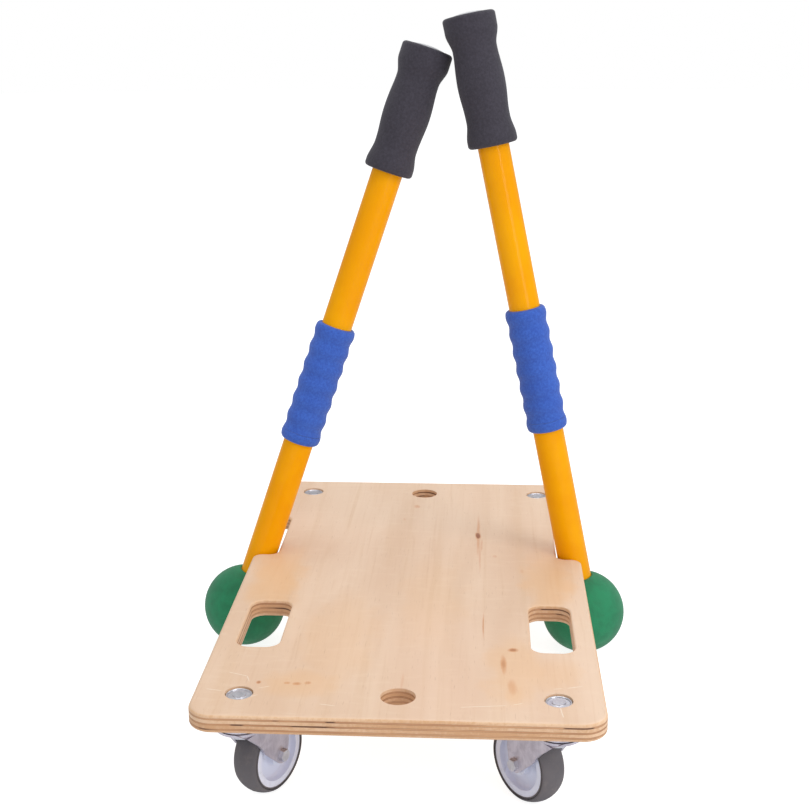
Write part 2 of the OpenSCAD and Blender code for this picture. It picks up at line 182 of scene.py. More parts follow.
class Finish(Tree):
    """A procedural material."""

    def __init__(self, name):
        self.material = bpy.data.materials.new(name)
        self.material.use_nodes = True
        super().__init__(self.material.node_tree)
        self.graph.nodes.clear()
        self.place = self.node("ShaderNodeTexCoord", out="Object")

    def mapped(self, vector, scale):
        return self.node("ShaderNodeMapping", {"Vector": vector, "Scale": scale})

    def noise(self, vector, scale, detail=3.0, rough=0.55, warp=0.0):
        inputs = {"Vector": vector, "Scale": scale, "Detail": detail, "Roughness": rough, "Distortion": warp}
        return self.node("ShaderNodeTexNoise", inputs)

    def cells(self, vector, scale):
        return self.node("ShaderNodeTexVoronoi", {"Vector": vector, "Scale": scale})

    def mix(self, factor, first, second):
        inputs = {0: factor, 6: first, 7: second}
        return self.node("ShaderNodeMix", inputs, out=2, data_type="RGBA")

    def bump(self, height, depth, strength=1.0):
        return self.node("ShaderNodeBump", {"Height": height, "Distance": depth, "Strength": strength})

    def shade(self, colour, roughness, normal=None, **others):
        """Ends the tree in the surface shader; others are its remaining inputs by name."""
        inputs = {"Base Color": colour, "Roughness": roughness}
        if normal is not None:
            inputs["Normal"] = normal
        inputs.update({key.replace("_", " "): value for key, value in others.items()})
        shader = self.node("ShaderNodeBsdfPrincipled", inputs)
        self.node("ShaderNodeOutputMaterial", {"Surface": shader})
        return self.material


def rgb(red, green, blue):
    """A colour given as 0 to 255 display values, for a shader."""
    def linear(c):
        c = c / 255
        return c / 12.92 if c <= 0.04045 else ((c + 0.055) / 1.055) ** 2.4
    return (linear(red), linear(green), linear(blue), 1.0)


# ---------------------------------------------------------------- plywood

PALE_PLIES = 4
CROSS = 0.30                     # share of each layer that is its darker cross ply
GLUE = 0.035                     # half width of a glue line, as a share of a layer
LAYERS = PALE_PLIES - CROSS      # the bottom pale ply has no cross ply under it
ACROSS_GRAIN = 260               # how fine the fibres are, per metre, across and along the grain
ALONG_GRAIN = 7
VENEER = 0.10                    # how far the top veneer's colour reaches down, in layers
# knots and streaks on the top veneer: x, y, half width, half length, darkness (mm)
STAINS = [
    (66, 120, 3.6, 13, 0.95), (66, 122, 2.0, 66, 0.50), (68, 62, 1.2, 50, 0.34), (72, -114, 0.9, 30, 0.60),
    (70, 92, 0.9, 20, 0.5), (99, -166, 5.5, 4.6, 0.72), (90, -196, 3.0, 20, 0.62), (97, -238, 4.5, 16, 0.36),
    (-97, -240, 3.2, 2.6, 0.52), (-88, -241, 4.4, 3.2, 0.60), (-79, -239, 3.4, 3.2, 0.62),
    (-122, -240, 2.6, 3.4, 0.72), (-6, 212, 4.0, 6, 0.50), (84, 60, 2.4, 4.0, 0.28),
    (-19, 168, 1.6, 5.0, 0.25), (112, 20, 2.2, 6.0, 0.22), (2, -232, 1.4, 16, 0.24),
]
# warm amber clouds in the veneer, and (the first two, beside the tubes) painted orange light thrown onto the
# board by the tubes: x, y, half width, half length, strength (mm)
AMBER_AND_TUBE_GLOW = [
    (-138, -12, 30, 92, 0.46), (136, -8, 26, 92, 0.44), (100, -205, 30, 74, 0.34), (128, -215, 34, 34, 0.26),
    (-84, -238, 34, 30, 0.34), (-60, -150, 36, 110, 0.20), (20, -60, 40, 120, 0.16), (98, -246, 12, 30, 0.42),
]
# pale scratches round the near bolts: start and end (mm)
SCRATCHES = [
    (-152, -222, -133, -229), (-134, -228, -130, -240), (-166, -254, -150, -257), (-121, -251, -110, -246),
    (-66, -276, -50, -279), (131, -240, 141, -238), (143, -238, 158, -233), (136, -272, 138, -290),
    (52, -276, 92, -271), (96, -270, 106, -266), (-128, -268, -118, -262),
]


def blot(x, y, wander, mark):
    """How strong a knot, streak, cloud or patch of painted tube light is at a point, from 0 to 1."""
    mx, my, half_x, half_y, dark = mark
    u = (x + wander * (half_x * 0.9 * MM) - mx * MM) * (1 / (half_x * MM))
    v = (y - my * MM) * (1 / (half_y * MM))
    return (u * u + v * v).step(1.3, 0.0) * dark


def scratch(x, y, line):
    """A thin line from one point to another, faded at its ends."""
    x0, y0, x1, y1 = (c * MM for c in line)
    length = math.hypot(x1 - x0, y1 - y0)
    dx = (x1 - x0) / length
    dy = (y1 - y0) / length
    along = (x - x0) * dx + (y - y0) * dy
    across = ((x - x0) * -dy + (y - y0) * dx).size()
    middle = (along - length / 2).size()
    return across.step(0.60 * MM, 0.15 * MM) * middle.step(length / 2, length / 2 - 3 * MM)


def clean_veneer(f, x, y, z, fibre, figure, pores):
    """The bare top veneer: cloudy figure along the board, faint bands and fine pores."""
    cloud = f.noise(f.place, 4.2, 2.0, 0.5)
    ripple = f.noise(f.joined(x * 40, y * 120, z), 1.0, 2.0, 0.5)
    bands = f.noise(f.joined(x * 75, y * 2.2, z), 1.0, 3.0, 0.6, 0.6)
    rosy = f.noise(f.joined(x * 5, y * 2.4, z), 1.0, 2.0)
    veneer = f.mix((figure * 0.7 + cloud * 0.3).step(0.36, 0.66), rgb(226, 192, 162), rgb(238, 209, 182))
    veneer = f.mix(bands.step(0.5, 0.72) * 0.38, veneer, rgb(222, 186, 150))
    veneer = f.mix(fibre.step(0.52, 0.8) * 0.35, veneer, rgb(212, 172, 134))
    veneer = f.mix(ripple.step(0.5, 0.75) * 0.16, veneer, rgb(246, 222, 197))
    veneer = f.mix(rosy.step(0.5, 0.75) * 0.32, veneer, rgb(238, 200, 176))
    return f.mix(pores.step(0.66, 0.78) * 0.28, veneer, rgb(178, 134, 98))


def top_veneer(f, x, y, z, fibre, pores):
    """The top veneer with its clouds, painted orange tube light, knots and scratches, and the masks of the
    last two.
    """
    figure = f.noise(f.joined(x * 9, y * 1.6, z), 1.0, 4.0, 0.5, 1.2)
    wander = f.noise(f.joined(x * 30, y * 22, z), 1.0, 3.0, 0.6) * 2 - 1
    patchy = f.noise(f.joined(x * 300, y * 70, z), 1.0, 3.0, 0.6).step(0.15, 0.6) * 0.6 + 0.4
    dark = strongest(blot(x, y, wander, mark) for mark in STAINS)
    amber_and_glow = strongest(blot(x, y, wander, mark) for mark in AMBER_AND_TUBE_GLOW)
    shaken = x + wander * (0.8 * MM)
    lines = strongest(scratch(shaken, y, line) for line in SCRATCHES) * patchy
    core = dark.step(0.5, 0.95)
    veneer = clean_veneer(f, x, y, z, fibre, figure, pores)
    # amber clouds, and beside the tubes painted orange light thrown onto the board by the tubes
    veneer = f.mix(amber_and_glow * (figure * 0.8 + 0.6).clamped(), veneer, rgb(236, 184, 124))
    veneer = f.mix((dark * patchy * 1.1).clamped(), veneer, rgb(208, 134, 72))
    veneer = f.mix((core * patchy * 0.85).clamped(), veneer, rgb(132, 72, 42))
    veneer = f.mix(lines * 0.6, veneer, rgb(255, 246, 234))
    return veneer, core, lines


def plywood():
    """Birch plywood: thick pale plies parted by thin brown ones, solid through the deck."""
    f = Finish("birch_plywood")
    x, y, z = f.parts(f.place)
    waves = f.noise(f.mapped(f.place, (9, 9, 40)), 1.0, 2.0) - 0.5
    depth = ((DECK_TOP - z) * (LAYERS / DECK_T) + waves * 0.10).most(0.005).least(LAYERS - 0.005)
    layer = depth.floor()
    within = depth - layer
    joint = within - (1 - CROSS)
    cross = within.step(1 - CROSS - 0.01, 1 - CROSS + 0.01)   # 1 where the grain runs across the board
    shift = (layer * 2 + cross) * 0.37
    along_y = f.joined(x * ACROSS_GRAIN + shift, y * ALONG_GRAIN + shift, z * ACROSS_GRAIN)
    along_x = f.joined(x * ALONG_GRAIN + shift, y * ACROSS_GRAIN + shift, z * ACROSS_GRAIN)
    grain = f.mix(cross, along_y, along_x)
    fibre = f.noise(grain, 1.0, 5.0, 0.62, 0.4)
    fine = f.noise(f.mapped(grain, (3.2, 3.2, 3.2)), 1.0, 4.0, 0.7)
    pores = f.noise(f.joined(x * 900, y * 60, z), 1.0, 1.0)
    veneer, core, lines = top_veneer(f, x, y, z, fibre, pores)

    # the cut plies: pale ones streaky, cross plies browner, with dark glue seams and open voids whose dark
    # colour is painted shade inside the gaps
    facing = f.parts(f.node("ShaderNodeTexCoord", out="Normal"))
    end_x = facing[0].size()
    end_y = facing[1].size()
    end_grain = (end_y * end_y * (1 - cross) + end_x * end_x * cross).clamped()
    tone = f.noise(f.joined(x * 6 + layer * 5, y * 6 + layer * 5, shift * 9), 1.0, 1.0)
    pale = f.mix((fibre * 0.5 + tone * 0.7).step(0.40, 0.75), rgb(244, 212, 178), rgb(222, 176, 132))
    brown = f.mix((fine * 0.6 + tone * 0.6).step(0.4, 0.85), rgb(206, 152, 108), rgb(168, 112, 74))
    pale = f.mix(end_grain * 0.35, pale, brown)
    inside = depth.step(0.3, 0.5) * depth.step(LAYERS - 0.3, LAYERS - 0.5)
    from_seam = within.least(1 - within).least(joint.size())
    seam = from_seam.step(GLUE * 1.8, GLUE * 0.6) * inside
    broken = f.noise(f.joined(x * 30, y * 30, layer * 3.1), 1.0, 2.0).step(0.34, 0.56)
    gap = f.noise(f.joined(x * 17 + 3, y * 17, layer * 5.3), 1.0, 2.0).step(0.60, 0.63)
    shaded_void = gap * (joint - CROSS / 2).size().step(CROSS * 0.48, CROSS * 0.25) * inside
    plies = f.mix(cross * 0.85, pale, brown)
    plies = f.mix(seam * (broken * 0.6 + 0.15), plies, rgb(140, 90, 60))
    # painted shade: the open voids are coloured near black-brown for the shade inside them
    plies = f.mix(shaded_void * 0.85, plies, rgb(64, 40, 30))

    face = depth.step(VENEER + 0.06, VENEER)
    height = fibre * 0.5 + pores.step(0.8, 0.62) * 0.3 - core * 0.5 - shaded_void * 3.0 - seam * 0.8
    normal = f.bump(height - lines * 0.5, 0.00012, 0.55)
    roughness = (0.44 + fibre * 0.16 + (1 - face) * 0.2 + lines * 0.2).clamped()
    return f.shade(f.mix(face, plies, veneer), roughness, normal, Coat_Weight=0.18, Coat_Roughness=0.30)


# ---------------------------------------------------------------- other finishes

def powder_coat():
    """Glossy orange powder coat on the tubes, with a slight orange peel, scuffs and rub marks."""
    f = Finish("orange_powder_coat")
    z = f.parts(f.place)[2]
    peel = f.noise(f.place, 620, 2.0, 0.5)
    broad = f.noise(f.place, 16, 3.0, 0.6)
    rub = f.noise(f.mapped(f.place, (70, 70, 16)), 1.0, 4.0, 0.7, 0.8)
    low = z.step(DECK_TOP + 0.05, DECK_TOP - 0.01)
    scuff = rub.step(0.62, 0.78) * (low * 0.8 + 0.12)
    colour = f.mix(broad.step(0.35, 0.7), rgb(245, 161, 0), rgb(250, 172, 0))
    colour = f.mix(scuff * 0.4, colour, rgb(214, 124, 12))
    nick = f.cells(f.mapped(f.place, (60, 60, 22)), 1.0).step(0.055, 0.02) * low
    colour = f.mix(nick * 0.8, colour, rgb(120, 96, 70))
    roughness = (0.30 + broad * 0.10 + scuff * 0.3).clamped()
    normal = f.bump(peel + scuff * -0.6, 0.00005, 0.35)
    return f.shade(colour, roughness, normal, Specular_IOR_Level=0.04, Coat_Weight=0.16, Coat_Roughness=0.10)


def brightened(colour, gain, lift=0.0):
    return tuple(min(1.0, c * gain + lift) for c in colour[:3]) + (1.0,)


def foam(name, pale, deep, pore_scale, sheen):
    """Closed-cell foam: a soft mottled skin with fine open pores, darkened inside as painted shade."""
    f = Finish(name)
    mottle = f.noise(f.place, 420, 4.0, 0.7)
    broad = f.noise(f.place, 30, 3.0, 0.5)
    cells = f.cells(f.place, pore_scale)
    shaded_pits = f.cells(f.place, pore_scale * 0.37).step(0.16, 0.05)
    colour = f.mix((mottle * 0.8 + broad * 0.2).step(0.30, 0.72), deep, pale)
    colour = f.mix((1 - cells.step(0.0, 0.5)) * 0.22, colour, deep)
    # painted shade: the pits are darkened for the shade inside them
    colour = f.mix(shaded_pits * 0.5, colour, brightened(deep, 0.45))
    worn = f.noise(f.place, 55, 5.0, 0.75).step(0.58, 0.80)
    colour = f.mix(worn * 0.12, colour, brightened(pale, 1.6, 0.02))
    height = cells * 0.5 + mottle * 0.5 - shaded_pits * 0.9
    normal = f.bump(height, 0.00016, 0.6)
    roughness = (0.78 + mottle * 0.16 - worn * 0.12).clamped()
    return f.shade(colour, roughness, normal, Sheen_Weight=sheen, Sheen_Roughness=0.5)


def tyre_rubber():
    """Grey thermoplastic rubber: dusty tread, fine grit, smooth sidewall."""
    f = Finish("grey_tyre_rubber")
    grit = f.noise(f.place, 1500, 2.0, 0.6)
    dust = f.noise(f.place, 55, 5.0, 0.7)
    broad = f.noise(f.place, 20, 2.0)
    colour = f.mix(broad.step(0.35, 0.65), rgb(92, 88, 92), rgb(104, 99, 102))
    colour = f.mix(dust.step(0.48, 0.74) * 0.42, colour, rgb(132, 122, 118))
    specks = f.cells(f.place, 330).step(0.10, 0.04)
    colour = f.mix(specks * 0.5, colour, rgb(150, 140, 130))
    height = grit * 0.4 + dust * 0.6
    normal = f.bump(height, 0.00018, 0.5)
    return f.shade(colour, (0.62 + dust * 0.22).clamped(), normal)


def wheel_plastic():
    """Pale moulded polypropylene of the wheel centres, with darker grime in random patches."""
    f = Finish("pale_wheel_plastic")
    grain = f.noise(f.place, 900, 2.0, 0.5)
    grime = f.noise(f.place, 48, 5.0, 0.7, 0.6)
    colour = f.mix(f.noise(f.place, 16).step(0.35, 0.65), rgb(224, 228, 246), rgb(234, 236, 250))
    colour = f.mix(grime.step(0.55, 0.82) * 0.42, colour, rgb(164, 160, 168))
    normal = f.bump(grain, 0.00006, 0.4)
    return f.shade(colour, (0.36 + grime * 0.2).clamped(), normal)


def zinc(name, pale, deep, base_rough):
    """Zinc-plated pressed steel: a faint cloudy bloom, brushed press marks and fine scratches."""
    f = Finish(name)
    bloom = f.noise(f.place, 65, 4.0, 0.6, 0.5)
    drawn = f.noise(f.mapped(f.place, (1500, 1500, 90)), 1.0, 3.0, 0.6)
    spots = f.cells(f.place, 260).step(0.12, 0.03)
    colour = f.mix((bloom * 0.75 + drawn * 0.25).step(0.32, 0.70), deep, pale)
    colour = f.mix(spots * 0.35, colour, rgb(92, 84, 80))
    rust = f.noise(f.place, 38, 5.0, 0.75).step(0.70, 0.80)
    colour = f.mix(rust * 0.35, colour, rgb(134, 104, 80))
    metal = (0.92 - rust * 0.5 - spots * 0.3).clamped()
    height = drawn * 0.35 + bloom * 0.4 - spots * 0.6
    normal = f.bump(height, 0.00007, 0.5)
    roughness = (base_rough + bloom * 0.16 + rust * 0.3).clamped()
    return f.shade(colour, roughness, normal, Metallic=metal)


def moulded(name, pale, deep, rough):
    """Injection-moulded plastic with a spark-eroded grain."""
    f = Finish(name)
    grain = f.noise(f.place, 1100, 2.0, 0.6)
    tone = f.noise(f.place, 40, 4.0, 0.6)
    colour = f.mix(tone.step(0.35, 0.7), deep, pale)
    return f.shade(colour, (rough + tone * 0.12).clamped(), f.bump(grain, 0.00008, 0.5))


def ball_rubber():
    """Green foam rubber of the paddle balls, with a fine bloom and scuffs near the floor."""
    f = Finish("green_ball_rubber")
    z = f.parts(f.place)[2]
    mottle = f.noise(f.place, 120, 4.0, 0.65)
    cells = f.cells(f.place, 900)
    broad = f.noise(f.place, 18, 3.0)
    colour = f.mix((mottle * 0.5 + broad * 0.5).step(0.35, 0.66), rgb(13, 114, 74), rgb(27, 135, 90))
    colour = f.mix(cells.step(0.30, 0.05) * 0.20, colour, rgb(12, 92, 60))
    dusty = mottle.step(0.5, 0.75) * z.step(0.035, 0.0)
    colour = f.mix(dusty * 0.5, colour, rgb(118, 140, 118))
    height = cells * 0.45 + mottle * 0.55
    normal = f.bump(height, 0.00020, 0.6)
    return f.shade(colour, (0.66 + mottle * 0.2).clamped(), normal, Sheen_Weight=0.12, Sheen_Roughness=0.5)


FINISHES = {
    "plywood": plywood(),
    "orange_coat": powder_coat(),
    "blue_foam": foam("blue_grip_foam", rgb(62, 108, 204), rgb(44, 82, 176), 1500, 0.15),
    "black_foam": foam("black_grip_foam", rgb(66, 62, 73), rgb(47, 43, 53), 1300, 0.10),
    "green_rubber": ball_rubber(),
    "tyre_rubber": tyre_rubber(),
    "wheel_plastic": wheel_plastic(),
    "zinc_steel": zinc("zinc_plated_steel", rgb(222, 217, 227), rgb(184, 178, 190), 0.36),
    "bright_steel": zinc("bright_plated_steel", rgb(226, 226, 232), rgb(190, 190, 198), 0.22),
    "core_plastic": moulded("core_plastic", rgb(70, 70, 74), rgb(52, 52, 56), 0.45),
    "cap_plastic": moulded("cap_plastic", rgb(214, 214, 218), rgb(186, 187, 193), 0.36),
}


def finish_cad_nodes():
    """Gives every CAD node the finish of the slot that its mesh came with."""
    for node in frame["nodes"].values():
        for holder in node.material_slots:
            holder.material = FINISHES[holder.material.name]


finish_cad_nodes()


# ---------------------------------------------------------------- turned pieces

def body_of(node):
    return frame["nodes"][node]["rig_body"]


def new_piece(name, mesh, slot, body, *nodes):
    """A finished mesh as a piece that rides on a body and stands for CAD nodes."""
    piece = bpy.data.objects.new(name, mesh)
    bpy.context.scene.collection.objects.link(piece)
    if not mesh.materials:
        mesh.materials.append(FINISHES[slot])
    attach(piece, body)
    if nodes:
        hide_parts(*nodes)
    return piece


def turned_mesh(name, profile, place, around=96, ripple=None):
    """A closed profile of (radius, height) points turned about the place's z axis.

    A point with radius 0 closes a pole. ripple(point) moves a vertex out or in along its radius."""
    made = bmesh.new()
    rings = []
    for radius, height in profile:
        if radius < 1e-7:
            rings.append([made.verts.new((0, 0, height))])
            continue
        ring = []
        for i in range(around):
            angle = 2 * math.pi * i / around
            point = Vector((radius * math.cos(angle), radius * math.sin(angle), height))
            if ripple:
                out = Vector((math.cos(angle), math.sin(angle), 0))
                point += out * ripple(point)
            ring.append(made.verts.new(point))
        rings.append(ring)
    for low, high in zip(rings, rings[1:] + rings[:1]):
        if len(low) == 1 and len(high) == 1:
            continue
        for i in range(around):
            j = (i + 1) % around
            if len(low) == 1:
                made.faces.new((low[0], high[j], high[i]))
            elif len(high) == 1:
                made.faces.new((low[i], low[j], high[0]))
            else:
                made.faces.new((low[i], low[j], high[j], high[i]))
    bmesh.ops.recalc_face_normals(made, faces=made.faces)
    for face in made.faces:
        face.smooth = True
    mesh = bpy.data.meshes.new(name)
    made.to_mesh(mesh)
    made.free()
    mesh.transform(place)
    return mesh


def joint(name):
    return next(j for j in frame["joints"] if j["name"] == name)


def axis_place(origin, direction):
    """A matrix that puts z along direction, at origin."""
    turn = Vector((0, 0, 1)).rotation_difference(direction)
    return Matrix.Translation(origin) @ turn.to_matrix().to_4x4()


def paddle_place(side):
    """Origin at the ball's middle, z up the tube."""
    origin = Vector(joint("paddle_tip_" + side)["pos_m"])
    low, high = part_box("tube_" + side)
    return axis_place(origin, ((low + high) / 2 - origin).normalized())


def reach(node, place):
    """A turned node's lowest and highest place along an axis, and its least and largest radius."""
    back = place.inverted()
    local = [back @ v.co for v in frame["nodes"][node].data.vertices]
    heights = [v.z for v in local]
    radii = [math.hypot(v.x, v.y) for v in local]
    return min(heights), max(heights), min(radii), max(radii)


def ease(t):
    t = min(1.0, max(0.0, t))
    return t * t * (3 - 2 * t)


def round_end(distance, radius):
    """How far a rounded end draws in, at a distance from that end."""
    if distance >= radius:
        return 0.0
    return radius - math.sqrt(max(0.0, radius * radius - (radius - distance) ** 2))


TUBE_R = 16 * MM
FOAM_FIT = 0.02 * MM             # how far a sleeve's bore stands off the tube


def foam_profile(low, high, outer_radius, end_radius, rows):
    """A sleeve: up the bore, over the top end, down the outside and round the bottom end."""
    length = high - low
    bore = TUBE_R + FOAM_FIT
    soft = 1.2 * MM
    turns = (0.5, 1.0, 1.4)
    profile = [(bore, low + soft), (bore, (low + high) / 2), (bore, high - soft)]
    profile += [(bore + soft - soft * math.cos(a), high - soft + soft * math.sin(a)) for a in turns]
    ends = [end_radius * (1 - math.cos(math.pi / 2 * i / 8)) for i in range(8)]
    body = [end_radius + (length - 2 * end_radius) * i / rows for i in range(rows + 1)]
    heights = ends + body + [length - end for end in reversed(ends)]
    for t in reversed(heights):
        draw = round_end(t, end_radius) + round_end(length - t, end_radius)
        profile.append((outer_radius(t, length) - draw, low + t))
    profile += [(bore + soft - soft * math.cos(a), low + soft - soft * math.sin(a)) for a in reversed(turns)]
    return profile


def hand_grip_radius(t, length):
    """The black grip: flared ends, a waist above and below a gentle belly."""
    belly = math.sin(math.pi * min(1.0, max(0.0, (t / length - 0.21) / 0.54))) ** 2
    low_flare = 1 - ease((t - 7 * MM) / (19 * MM))
    top_flare = ease((t - length + 33 * MM) / (18 * MM))
    return TUBE_R + (6.2 + 2.0 * belly + 3.0 * low_flare + 4.2 * top_flare) * MM


def soft_ripple(size, scale, seed):
    """Slight lumps of soft foam, the same each run."""
    offset = Vector((seed, seed * 0.7, seed * 0.3))

    def ripple(point):
        if math.hypot(point.x, point.y) < TUBE_R + 1 * MM:
            return 0.0
        return size * noise.noise(point * scale + offset)
    return ripple


def hand_grips():
    for number, side in enumerate(SIDES):
        node = "upper_grip_" + side
        place = paddle_place(side)
        low, high = reach(node, place)[:2]
        profile = foam_profile(low, high, hand_grip_radius, 3.6 * MM, 150)
        ripple = soft_ripple(0.16 * MM, 60, 3.1 + number)
        mesh = turned_mesh("hand_grip_" + side, profile, place, 128, ripple)
        piece = new_piece("hand_grip_" + side, mesh, "black_foam", body_of(node), node)


hand_grips()


# ---------------------------------------------------------------- balls

def ball_profile(radius, socket_floor):
    """Over the socket's floor, up its wall, over a soft lip and round the ball to the far pole."""
    lip = 1.6 * MM
    mouth = TUBE_R + 0.05 * MM
    below = socket_floor - 3 * MM
    start = math.asin((mouth + lip) / radius)
    top = radius * math.cos(start)
    profile = [(0, below), (mouth, below), (mouth, 0.5 * top), (mouth, top - lip)]
    for i in range(1, 5):
        turn = math.pi / 2 * i / 5
        profile.append((mouth + lip - lip * math.cos(turn), top - lip + lip * math.sin(turn)))
    rows = 90
    mould_line = 0.12 * MM
    for i in range(rows + 1):
        angle = start + (math.pi - start) * i / rows
        off_middle = (angle - math.pi / 2) * radius
        out = radius - mould_line + mould_line * math.exp(-(off_middle / (0.7 * MM)) ** 2)
        profile.append((out * math.sin(angle) if i < rows else 0, out * math.cos(angle)))
    return profile


def paddle_balls():
    """Foam rubber balls with a soft lip round the tube and a faint mould line."""
    for side in SIDES:
        node = "ball_" + side
        place = paddle_place(side)
        radius = reach(node, place)[3]
        socket_floor = reach("tube_" + side, place)[0]
        mesh = turned_mesh("foam_ball_" + side, ball_profile(radius, socket_floor), place, 144)
        piece = new_piece("foam_ball_" + side, mesh, "green_rubber", body_of(node), node)


paddle_balls()


# ---------------------------------------------------------------- geometry nodes

class ShapeTree(Tree):
    """A Geometry Nodes tree with named inputs."""

    def __init__(self, name, **inputs):
        super().__init__(bpy.data.node_groups.new(name, "GeometryNodeTree"))
        face = self.graph.interface
        face.new_socket("Geometry", in_out="INPUT", socket_type="NodeSocketGeometry")
        for label, value in inputs.items():
            kind = "NodeSocketInt" if isinstance(value, int) else "NodeSocketFloat"
            socket = face.new_socket(label, in_out="INPUT", socket_type=kind)
            socket.default_value = value
        face.new_socket("Geometry", in_out="OUTPUT", socket_type="NodeSocketGeometry")
        self.start = self.graph.nodes.new("NodeGroupInput")

    def given(self, label):
        return Value(self, self.start.outputs[label])

    def close(self, geometry, material):
        """Ends the tree in Realize Instances and Set Material."""
        real = self.node("GeometryNodeRealizeInstances", {"Geometry": geometry})
        dressed = self.node("GeometryNodeSetMaterial", {"Geometry": real, "Material": material})
        self.node("NodeGroupOutput", {"Geometry": dressed})


def realised(name, tree, place, **sizes):
    """Runs a tree on an empty carrier with the given sizes and returns the plain mesh in its place."""
    carrier = bpy.data.objects.new(name + "_carrier", bpy.data.meshes.new(name + "_carrier"))
    bpy.context.scene.collection.objects.link(carrier)
    modifier = carrier.modifiers.new("build", "NODES")
    modifier.node_group = tree.graph
    for item in tree.graph.interface.items_tree:
        if item.in_out == "INPUT" and item.name in sizes:
            modifier[item.identifier] = sizes[item.name]
    graph = bpy.context.evaluated_depsgraph_get()
    mesh = bpy.data.meshes.new_from_object(carrier.evaluated_get(graph), depsgraph=graph)
    mesh.name = name
    bpy.data.objects.remove(carrier)
    mesh.transform(place)
    return mesh


def race_tree():
    """A ring of bearing balls with the thin cage that spaces them."""
    tree = ShapeTree("bearing_race", Balls=14, Ball_radius=2.4 * MM, Race_radius=14 * MM, Cage_wire=0.4 * MM)
    radius = tree.given("Race_radius")
    ring = tree.node("GeometryNodeMeshCircle", {"Vertices": tree.given("Balls"), "Radius": radius})
    ball = tree.node("GeometryNodeMeshIcoSphere", {"Radius": tree.given("Ball_radius"), "Subdivisions": 3})
    ball = tree.node("GeometryNodeSetShadeSmooth", {"Geometry": ball, "Shade Smooth": True})
    balls = tree.node("GeometryNodeInstanceOnPoints", {"Points": ring, "Instance": ball})
    path = tree.node("GeometryNodeCurvePrimitiveCircle", {"Resolution": 72, "Radius": radius})
    wire = tree.node("GeometryNodeCurvePrimitiveCircle", {"Resolution": 10, "Radius": tree.given("Cage_wire")})
    cage = tree.node("GeometryNodeCurveToMesh", {"Curve": path, "Profile Curve": wire})
    race = tree.node("GeometryNodeJoinGeometry", {"Geometry": [balls, cage]})
    tree.close(race, FINISHES["bright_steel"])
    return tree


def bearing_races():
    tree = race_tree()
    for corner in CORNERS:
        node = "bearing_balls_" + corner
        low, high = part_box(node)
        place = Matrix.Translation((low + high) / 2)
        mesh = realised("bearing_race_" + corner, tree, place)
        new_piece("bearing_race_" + corner, mesh, "bright_steel", body_of(node), node)


bearing_races()


def ribbed_grip_tree():
    """The blue grip: a sleeve on the tube whose outside is a row of round rings."""
    tree = ShapeTree("ribbed_grip", Length=131 * MM, Bore=TUBE_R, Skin=4.4 * MM, Rib=0.75 * MM, Ribs=7,
                     First=7.5 * MM, End_radius=3.0 * MM, Collar=0.35 * MM)
    length, first, end = (tree.given(label) for label in ("Length", "First", "End_radius"))
    size = {"Size X": 1.0, "Size Y": 1.0, "Vertices X": 129, "Vertices Y": 260}
    sheet = tree.node("GeometryNodeMeshGrid", size)
    across, along, _ = tree.parts(tree.node("GeometryNodeInputPosition"))
    around = (across + 0.5) * (2 * math.pi)
    t = (along + 0.5) * length
    pitch = (length - first * 2.0) / (tree.given("Ribs") - 1.0)
    wave = ((t - first) / pitch * (2 * math.pi)).cosine() * tree.given("Rib")
    from_end = t.least(length - t)
    fade = (1.0 - from_end / (16 * MM)).most(0.0)
    collar = tree.given("Collar") * fade.maths("SMOOTH_MIN", 1.0, 0.2)
    near_end = (end - from_end).most(0.0)
    drawn = end - (end * end - near_end * near_end).most(0.0).root()
    lump = (tree.node("ShaderNodeTexNoise", {"Scale": 60.0, "Detail": 2.0}) - 0.5) * (0.25 * MM)
    radius = tree.given("Bore") + (tree.given("Skin") + wave + (collar + lump)) - drawn
    spot = tree.joined(radius * around.cosine(), radius * around.sine(), t)
    shaped = tree.node("GeometryNodeSetPosition", {"Geometry": sheet, "Position": spot})
    merged = tree.node("GeometryNodeMergeByDistance", {"Geometry": shaped, "Distance": 0.005 * MM})
    smooth = tree.node("GeometryNodeSetShadeSmooth", {"Geometry": merged, "Shade Smooth": True})
    tree.close(smooth, FINISHES["blue_foam"])
    return tree


def close_sleeve(mesh, place, bore):
    """Turns the two open rims of a sleeve in to the tube and joins them with a bore."""
    made = bmesh.new()
    made.from_mesh(mesh)
    back = place.inverted()
    rims = [e for e in made.edges if len(e.link_faces) == 1]
    new = bmesh.ops.extrude_edge_only(made, edges=rims)["geom"]
    points = {g for g in new if isinstance(g, bmesh.types.BMVert)}
    for vertex in points:
        local = back @ vertex.co
        flat = Vector((local.x, local.y, 0)).normalized() * bore
        vertex.co = place @ Vector((flat.x, flat.y, local.z))
    inner = [g for g in new if isinstance(g, bmesh.types.BMEdge) and points.issuperset(g.verts)]
    bmesh.ops.bridge_loops(made, edges=inner)
    bmesh.ops.recalc_face_normals(made, faces=made.faces)
    for face in made.faces:
        face.smooth = True
    made.to_mesh(mesh)
    made.free()


def ribbed_grips():
    tree = ribbed_grip_tree()
    for side in SIDES:
        node = "lower_grip_" + side
        place = paddle_place(side)
        low, high = reach(node, place)[:2]
        stand = place @ Matrix.Translation((0, 0, low))
        mesh = realised("ribbed_grip_" + side, tree, stand, Length=high - low)
        close_sleeve(mesh, place, TUBE_R + FOAM_FIT)
        piece = new_piece("ribbed_grip_" + side, mesh, "blue_foam", body_of(node), node)


ribbed_grips()


# ---------------------------------------------------------------- tyres

